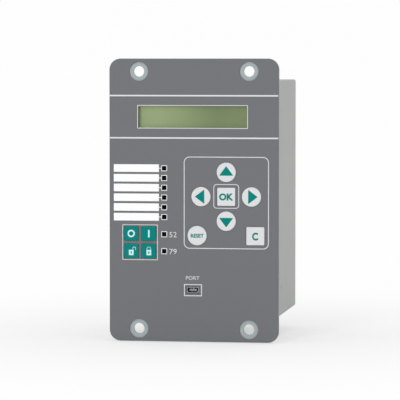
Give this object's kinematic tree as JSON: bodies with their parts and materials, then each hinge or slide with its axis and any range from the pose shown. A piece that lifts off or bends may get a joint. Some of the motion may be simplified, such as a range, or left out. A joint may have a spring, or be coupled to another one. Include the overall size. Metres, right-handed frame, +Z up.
{
  "type": "protection relay",
  "caption": "Flush-mounted protection relay: keypad and display front plate on a sheet-metal case with rear terminals.",
  "frame": {"origin": "middle of the four fixing holes, on the back face of the front plate", "axes": "+X to the right as seen from the front, +Y into the panel, +Z up"},
  "size_m": [0.107, 0.1272, 0.177],
  "materials": {
    "plate_paint": "satin grey paint on steel sheet",
    "film": "fine matt polyester film, dark grey",
    "clear_window": "clear polyester window",
    "label_white": "white write-on strip",
    "smoked_lens": "smoked lens",
    "key_white": "light grey key face, satin",
    "key_green": "blue-green key face, satin",
    "switch_ivory": "ivory moulded plunger",
    "black_plastic": "black moulding",
    "diode_plastic": "tinted diode body",
    "circuit_board": "green solder mask on glass-fibre board",
    "zinc_steel": "zinc plated steel",
    "black_metal": "black coated steel sheet",
    "display_green": "yellow-green display glass",
    "backlight_plastic": "milky light guide",
    "amber_film": "amber flexible circuit film",
    "port_metal": "nickel plated shell",
    "port_plastic": "grey moulding",
    "ribbon_grey": "grey ribbon insulation",
    "case_paint": "light grey paint on folded steel sheet",
    "earth_brass": "plain brass",
    "ring_resin": "cast resin",
    "relay_plastic": "blue relay cover",
    "core_steel": "varnished core sheets",
    "capacitor_sleeve": "dark shrink sleeve",
    "terminal_green": "green terminal moulding"
  },
  "bodies": {
    "relay": {"front_plate": "plate_paint", "overlay_film": "film", "display_window": "clear_window", "label_strips": "label_white", "indicator_lenses": "smoked_lens", "switch_housings": "black_plastic", "indicator_diodes": "diode_plastic", "operator_board": "circuit_board", "standoffs": "zinc_steel", "board_screws": "zinc_steel", "display_bezel": "black_metal", "display_glass": "display_green", "display_backlight": "backlight_plastic", "display_board": "circuit_board", "display_link": "amber_film", "port_shell": "port_metal", "port_tongue": "port_plastic", "ribbon_cable": "ribbon_grey", "ribbon_headers": "black_plastic", "case_sleeve": "case_paint", "plate_studs": "zinc_steel", "stud_nuts": "zinc_steel", "rear_plate": "case_paint", "rear_screws": "zinc_steel", "earth_stud": "earth_brass", "earth_washer": "zinc_steel", "earth_nut": "earth_brass", "input_card": "circuit_board", "output_card": "circuit_board", "card_guides": "black_plastic", "ring_transformers": "ring_resin", "output_relays": "relay_plastic", "supply_transformer": "core_steel", "supply_capacitors": "capacitor_sleeve", "current_terminals": "black_plastic", "current_screws": "zinc_steel", "signal_terminals": "terminal_green", "signal_screws": "zinc_steel"},
    "up_key": {"key_up": "key_white", "plunger_up": "switch_ivory"},
    "down_key": {"key_down": "key_white", "plunger_down": "switch_ivory"},
    "left_key": {"key_left": "key_white", "plunger_left": "switch_ivory"},
    "right_key": {"key_right": "key_white", "plunger_right": "switch_ivory"},
    "confirm_key": {"key_confirm": "key_white", "plunger_confirm": "switch_ivory"},
    "reset_key": {"key_reset": "key_white", "plunger_reset": "switch_ivory"},
    "clear_key": {"key_clear": "key_white", "plunger_clear": "switch_ivory"},
    "open_key": {"key_open": "key_green", "plunger_open": "switch_ivory"},
    "close_key": {"key_close": "key_green", "plunger_close": "switch_ivory"},
    "unlock_key": {"key_unlock": "key_green", "plunger_unlock": "switch_ivory"},
    "lock_key": {"key_lock": "key_green", "plunger_lock": "switch_ivory"}
  },
  "joints": [
    {"name": "up_press", "type": "slide", "parent": "relay", "child": "up_key", "axis": [0, 1, 0], "range_m": [0, 0.0004], "stiffness_N_per_m": 4000},
    {"name": "down_press", "type": "slide", "parent": "relay", "child": "down_key", "axis": [0, 1, 0], "range_m": [0, 0.0004], "stiffness_N_per_m": 4000},
    {"name": "left_press", "type": "slide", "parent": "relay", "child": "left_key", "axis": [0, 1, 0], "range_m": [0, 0.0004], "stiffness_N_per_m": 4000},
    {"name": "right_press", "type": "slide", "parent": "relay", "child": "right_key", "axis": [0, 1, 0], "range_m": [0, 0.0004], "stiffness_N_per_m": 4000},
    {"name": "confirm_press", "type": "slide", "parent": "relay", "child": "confirm_key", "axis": [0, 1, 0], "range_m": [0, 0.0004], "stiffness_N_per_m": 4000},
    {"name": "reset_press", "type": "slide", "parent": "relay", "child": "reset_key", "axis": [0, 1, 0], "range_m": [0, 0.0004], "stiffness_N_per_m": 4000},
    {"name": "clear_press", "type": "slide", "parent": "relay", "child": "clear_key", "axis": [0, 1, 0], "range_m": [0, 0.0004], "stiffness_N_per_m": 4000},
    {"name": "open_press", "type": "slide", "parent": "relay", "child": "open_key", "axis": [0, 1, 0], "range_m": [0, 0.0004], "stiffness_N_per_m": 4000},
    {"name": "close_press", "type": "slide", "parent": "relay", "child": "close_key", "axis": [0, 1, 0], "range_m": [0, 0.0004], "stiffness_N_per_m": 4000},
    {"name": "unlock_press", "type": "slide", "parent": "relay", "child": "unlock_key", "axis": [0, 1, 0], "range_m": [0, 0.0004], "stiffness_N_per_m": 4000},
    {"name": "lock_press", "type": "slide", "parent": "relay", "child": "lock_key", "axis": [0, 1, 0], "range_m": [0, 0.0004], "stiffness_N_per_m": 4000}
  ]
}
